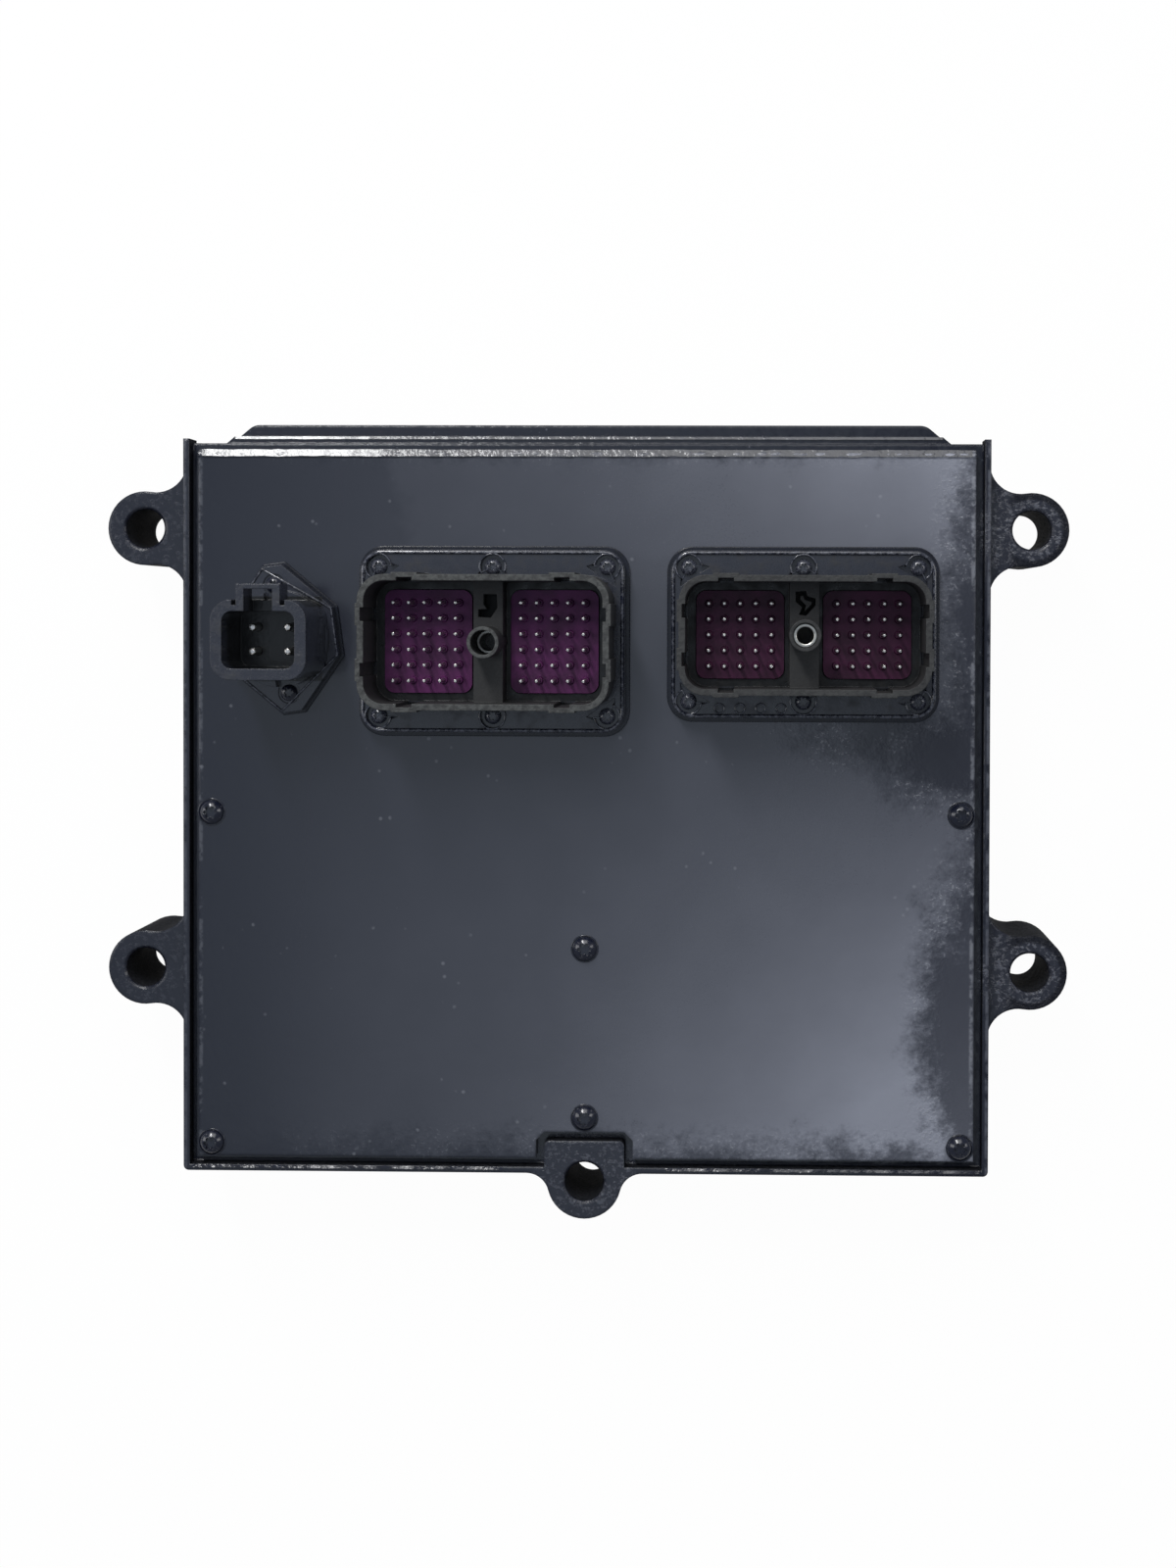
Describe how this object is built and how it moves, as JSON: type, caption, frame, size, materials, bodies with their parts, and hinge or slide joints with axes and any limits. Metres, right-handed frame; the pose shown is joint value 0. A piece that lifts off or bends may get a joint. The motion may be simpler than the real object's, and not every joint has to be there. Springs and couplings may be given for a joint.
{
  "type": "engine control unit",
  "caption": "Black cast engine control unit with bolt lugs, a flat screwed cover, large rectangular pin headers with violet inserts and a small power header.",
  "frame": {"origin": "centre of the four side lug holes, on the mounting plane at the back of the housing", "axes": "+X along the top rail towards the shorter header, +Y up to the top rail, +Z out of the cover"},
  "size_m": [0.2962, 0.2446, 0.0686],
  "materials": {
    "gloss_paint": "gloss",
    "screw_paint": "satin",
    "shell_plastic": "matte",
    "insert_violet": "satin",
    "pin_nickel": "polished",
    "bush_steel": "satin",
    "gasket_rubber": "satin",
    "board_laminate": "satin",
    "chip_epoxy": "matte",
    "can_metal": "satin",
    "winding_copper": "satin",
    "pad_silicone": "matte"
  },
  "bodies": {
    "root": {"housing": "gloss_paint", "cover_plate": "gloss_paint", "cover_gasket": "gasket_rubber", "cover_screws": "screw_paint", "header_60_shell": "shell_plastic", "header_60_left_insert": "insert_violet", "header_60_right_insert": "insert_violet", "header_60_pins": "pin_nickel", "header_60_jack_bush": "bush_steel", "header_60_screws": "screw_paint", "header_60_gasket": "gasket_rubber", "header_50_shell": "shell_plastic", "header_50_left_insert": "insert_violet", "header_50_right_insert": "insert_violet", "header_50_pins": "pin_nickel", "header_50_jack_bush": "bush_steel", "header_50_screws": "screw_paint", "header_50_gasket": "gasket_rubber", "power_shell": "shell_plastic", "power_pins": "pin_nickel", "power_screws": "screw_paint", "power_gasket": "gasket_rubber", "circuit_board": "board_laminate", "board_screws": "can_metal", "processor": "chip_epoxy", "memory_chips": "chip_epoxy", "driver_chips": "chip_epoxy", "power_transistors": "chip_epoxy", "bulk_capacitors": "can_metal", "boost_inductors": "winding_copper", "crystal": "can_metal", "pressure_sensor": "chip_epoxy", "thermal_pads": "pad_silicone"}
  },
  "joints": []
}
